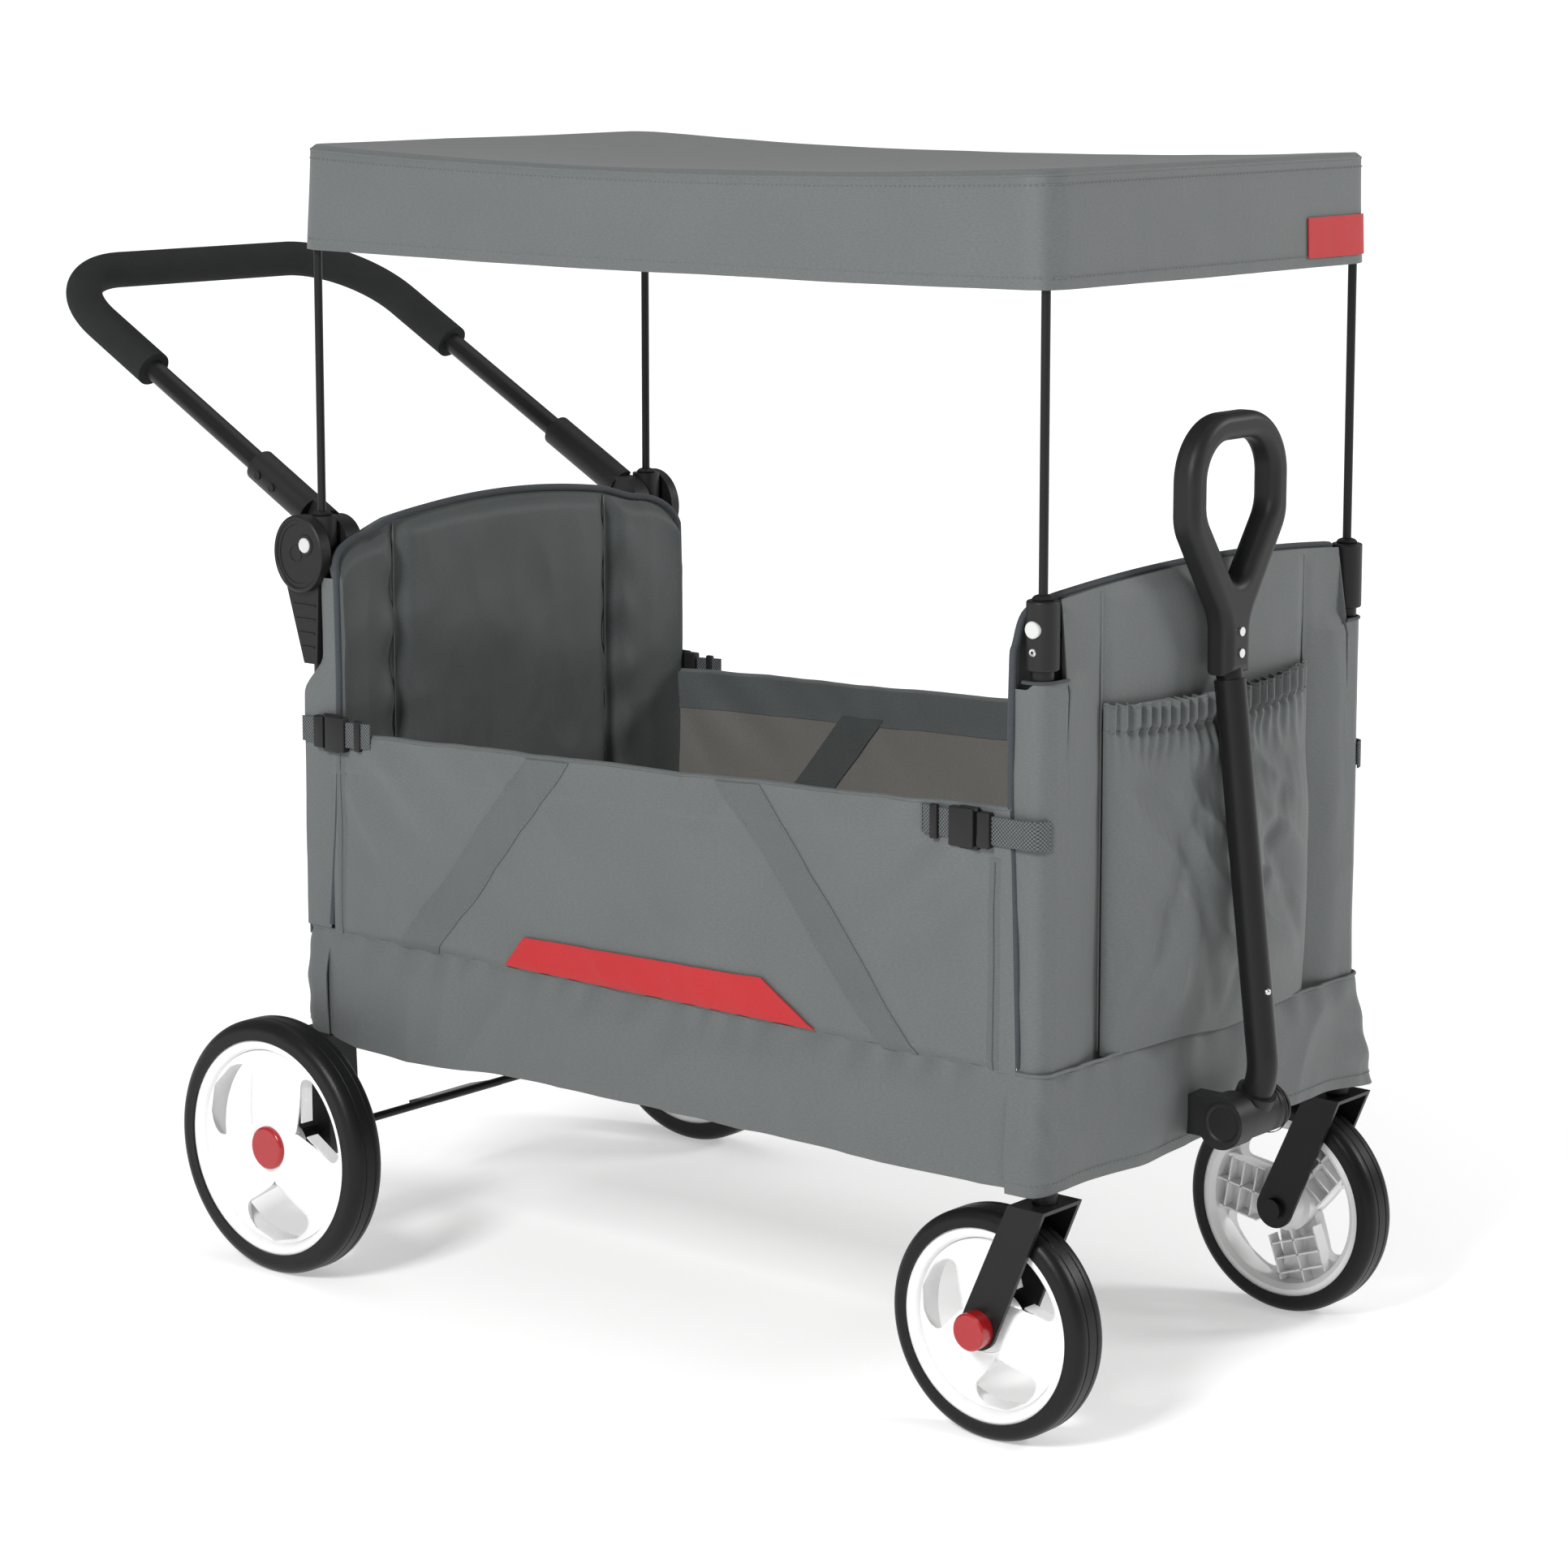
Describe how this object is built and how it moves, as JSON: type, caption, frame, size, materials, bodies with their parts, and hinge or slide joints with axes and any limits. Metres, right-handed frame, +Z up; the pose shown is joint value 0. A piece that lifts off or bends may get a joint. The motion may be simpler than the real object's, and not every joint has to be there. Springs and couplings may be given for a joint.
{
  "type": "folding kids pull wagon",
  "caption": "Folding fabric wagon with a canopy on thin poles, a rear push handle, a front pull handle, rear wheels and swivel casters.",
  "frame": {"origin": "middle of the outer box, on the ground", "axes": "+X forward towards the pull handle, +Y to the left, +Z up"},
  "size_m": [1.3894, 0.6516, 1.09],
  "materials": {
    "black_steel": "satin black powder coat",
    "bar_steel": "black painted flat bar",
    "black_plastic": "fine textured moulding",
    "grey_button": "satin",
    "bright_steel": "zinc plated",
    "foam": "closed cell foam",
    "grey_fabric": "woven polyester",
    "dark_fabric": "woven polyester",
    "tyre_rubber": "moulded rubber",
    "white_rim": "gloss white",
    "red_plastic": "gloss red"
  },
  "bodies": {
    "rear_frame": {"rear_frame_tubes": "black_steel", "rear_brackets": "black_plastic", "hub_brackets": "black_plastic", "backrest_panel": "dark_fabric", "backrest_wings": "dark_fabric", "side_skirts": "grey_fabric", "rear_skirt": "grey_fabric", "rear_axle": "black_steel", "rear_axle_caps": "red_plastic"},
    "front_frame": {"front_frame_tubes": "black_steel", "front_brackets": "black_plastic", "caster_bearings": "bright_steel", "front_sockets": "black_plastic", "front_panel": "grey_fabric", "front_pocket": "grey_fabric", "front_skirt": "grey_fabric", "pull_bracket": "black_plastic"},
    "canopy_rear": {"canopy_hoop_rear": "black_steel", "canopy_cover": "grey_fabric"},
    "canopy_front": {"canopy_hoop_front": "black_steel"},
    "bar_rear_low": {"scissor_bar_rear_low": "bar_steel"},
    "bar_rear_high": {"scissor_bar_rear_high": "bar_steel"},
    "bar_front_low": {"scissor_bar_front_low": "bar_steel"},
    "bar_front_high": {"scissor_bar_front_high": "bar_steel"},
    "rear_sliders": {"rear_sliders": "black_plastic"},
    "front_sliders": {"front_sliders": "black_plastic"},
    "floor_rear": {"floor_board_rear": "dark_fabric"},
    "floor_front": {"floor_board_front": "dark_fabric"},
    "side_wall_left": {"side_wall_left": "grey_fabric"},
    "side_wall_right": {"side_wall_right": "grey_fabric"},
    "push_handle": {"push_tube": "black_steel", "foam_grip": "foam", "handle_connectors": "black_plastic", "handle_rivets": "black_steel"},
    "pull_stem": {"pull_barrel": "black_plastic", "pull_tube": "black_steel"},
    "pull_grip": {"pull_inner_tube": "black_steel", "pull_loop": "black_plastic", "pull_screws": "bright_steel"},
    "brake": {"brake_bar": "black_steel"},
    "handle_release_left": {"handle_release_left": "black_plastic"},
    "handle_release_right": {"handle_release_right": "black_plastic"},
    "canopy_button_rear_left": {"canopy_button_rear_left": "grey_button"},
    "canopy_button_rear_right": {"canopy_button_rear_right": "grey_button"},
    "canopy_button_front_left": {"canopy_button_front_left": "grey_button"},
    "canopy_button_front_right": {"canopy_button_front_right": "grey_button"},
    "caster_left": {"caster_fork_left": "black_steel", "front_axle_left": "black_steel", "front_axle_cap_left": "red_plastic"},
    "front_wheel_left": {"front_tyre_left": "tyre_rubber", "front_rim_left": "white_rim"},
    "rear_wheel_left": {"rear_tyre_left": "tyre_rubber", "rear_rim_left": "white_rim"},
    "caster_right": {"caster_fork_right": "black_steel", "front_axle_right": "black_steel", "front_axle_cap_right": "red_plastic"},
    "front_wheel_right": {"front_tyre_right": "tyre_rubber", "front_rim_right": "white_rim"},
    "rear_wheel_right": {"rear_tyre_right": "tyre_rubber", "rear_rim_right": "white_rim"}
  },
  "joints": [
    {"name": "fold", "type": "hinge", "parent": "rear_frame", "child": "bar_rear_low", "pos_m": [-0.25369, 0, 0.247], "axis": [0, -1, 0], "range_deg": [0, 56], "deforming": ["side_wall_left", "side_wall_right", "side_skirts", "backrest_wings", "canopy_cover"]},
    {"name": "fold_centre", "type": "hinge", "parent": "bar_rear_low", "child": "bar_front_low", "pos_m": [0.17781, 0, 0.31921], "axis": [0, 1, 0], "range_deg": [0, 112]},
    {"name": "fold_front", "type": "hinge", "parent": "bar_front_low", "child": "front_frame", "pos_m": [0.60931, 0, 0.247], "axis": [0, -1, 0], "range_deg": [0, 56]},
    {"name": "fold_rear_cross", "type": "hinge", "parent": "bar_rear_low", "child": "bar_rear_high", "pos_m": [-0.03794, 0, 0.2831], "axis": [0, 1, 0], "range_deg": [0, 112]},
    {"name": "fold_front_cross", "type": "hinge", "parent": "bar_front_low", "child": "bar_front_high", "pos_m": [0.39356, 0, 0.2831], "axis": [0, -1, 0], "range_deg": [0, 112]},
    {"name": "fold_rear_slider", "type": "hinge", "parent": "bar_rear_high", "child": "rear_sliders", "pos_m": [-0.25369, 0, 0.31921], "axis": [0, -1, 0], "range_deg": [0, 56]},
    {"name": "fold_front_slider", "type": "hinge", "parent": "bar_front_high", "child": "front_sliders", "pos_m": [0.60931, 0, 0.31921], "axis": [0, 1, 0], "range_deg": [0, 56]},
    {"name": "floor_rear_hinge", "type": "hinge", "parent": "rear_frame", "child": "floor_rear", "pos_m": [-0.23369, 0, 0.325], "axis": [0, -1, 0], "range_deg": [0, 80]},
    {"name": "floor_front_hinge", "type": "hinge", "parent": "front_frame", "child": "floor_front", "pos_m": [0.58931, 0, 0.325], "axis": [0, 1, 0], "range_deg": [0, 80]},
    {"name": "canopy_lift", "type": "slide", "parent": "rear_frame", "child": "canopy_rear", "axis": [0, 0, 1], "range_m": [0, 0.1]},
    {"name": "canopy_front_lift", "type": "slide", "parent": "front_frame", "child": "canopy_front", "axis": [0, 0, 1], "range_m": [0, 0.1]},
    {"name": "side_wall_left_drop", "type": "hinge", "parent": "rear_frame", "child": "side_wall_left", "pos_m": [0.17781, 0.2483, 0.331], "axis": [-1, 0, 0], "range_deg": [0, 120]},
    {"name": "side_wall_right_drop", "type": "hinge", "parent": "rear_frame", "child": "side_wall_right", "pos_m": [0.17781, -0.2483, 0.331], "axis": [1, 0, 0], "range_deg": [0, 120]},
    {"name": "push_handle_tilt", "type": "hinge", "parent": "rear_frame", "child": "push_handle", "pos_m": [-0.26219, 0, 0.703], "axis": [0, 1, 0], "range_deg": [-105, 35]},
    {"name": "handle_release_left_press", "type": "slide", "parent": "rear_frame", "child": "handle_release_left", "axis": [0, -1, 0], "range_m": [0, 0.0025], "stiffness_N_per_m": 400},
    {"name": "handle_release_right_press", "type": "slide", "parent": "rear_frame", "child": "handle_release_right", "axis": [0, 1, 0], "range_m": [0, 0.0025], "stiffness_N_per_m": 400},
    {"name": "canopy_button_rear_left_press", "type": "slide", "parent": "rear_frame", "child": "canopy_button_rear_left", "axis": [0, -1, 0], "range_m": [0, 0.002], "stiffness_N_per_m": 400},
    {"name": "canopy_button_rear_right_press", "type": "slide", "parent": "rear_frame", "child": "canopy_button_rear_right", "axis": [0, 1, 0], "range_m": [0, 0.002], "stiffness_N_per_m": 400},
    {"name": "canopy_button_front_left_press", "type": "slide", "parent": "front_frame", "child": "canopy_button_front_left", "axis": [0, -1, 0], "range_m": [0, 0.002], "stiffness_N_per_m": 400},
    {"name": "canopy_button_front_right_press", "type": "slide", "parent": "front_frame", "child": "canopy_button_front_right", "axis": [0, 1, 0], "range_m": [0, 0.002], "stiffness_N_per_m": 400},
    {"name": "pull_handle_tilt", "type": "hinge", "parent": "front_frame", "child": "pull_stem", "pos_m": [0.66581, 0, 0.256], "axis": [0, 1, 0], "range_deg": [0, 112]},
    {"name": "pull_handle_draw", "type": "slide", "parent": "pull_stem", "child": "pull_grip", "axis": [-0.1219, 0, 0.9925], "range_m": [0, 0.11]},
    {"name": "brake_press", "type": "hinge", "parent": "rear_frame", "child": "brake", "pos_m": [-0.26819, 0, 0.19], "axis": [0, -1, 0], "range_deg": [-12, 0]},
    {"name": "caster_left_swivel", "type": "hinge", "parent": "front_frame", "child": "caster_left", "pos_m": [0.61381, 0.2285, 0.225], "axis": [0, 0, 1], "continuous": true},
    {"name": "front_wheel_left_spin", "type": "hinge", "parent": "caster_left", "child": "front_wheel_left", "pos_m": [0.56381, 0.2285, 0.102], "axis": [0, 1, 0], "continuous": true},
    {"name": "rear_wheel_left_spin", "type": "hinge", "parent": "rear_frame", "child": "rear_wheel_left", "pos_m": [-0.24919, 0.3055, 0.125], "axis": [0, 1, 0], "continuous": true},
    {"name": "caster_right_swivel", "type": "hinge", "parent": "front_frame", "child": "caster_right", "pos_m": [0.61381, -0.2285, 0.225], "axis": [0, 0, 1], "continuous": true},
    {"name": "front_wheel_right_spin", "type": "hinge", "parent": "caster_right", "child": "front_wheel_right", "pos_m": [0.56381, -0.2285, 0.102], "axis": [0, 1, 0], "continuous": true},
    {"name": "rear_wheel_right_spin", "type": "hinge", "parent": "rear_frame", "child": "rear_wheel_right", "pos_m": [-0.24919, -0.3055, 0.125], "axis": [0, 1, 0], "continuous": true}
  ],
  "couplings": [
    {"joint": "fold_centre", "follows": "fold", "ratio": 2},
    {"joint": "fold_front", "follows": "fold", "ratio": 1},
    {"joint": "fold_rear_cross", "follows": "fold", "ratio": 2},
    {"joint": "fold_front_cross", "follows": "fold", "ratio": 2},
    {"joint": "fold_rear_slider", "follows": "fold", "ratio": 1},
    {"joint": "fold_front_slider", "follows": "fold", "ratio": 1},
    {"joint": "floor_rear_hinge", "follows": "fold", "ratio": 1.42},
    {"joint": "floor_front_hinge", "follows": "fold", "ratio": 1.42},
    {"joint": "canopy_front_lift", "follows": "canopy_lift", "ratio": 1}
  ]
}
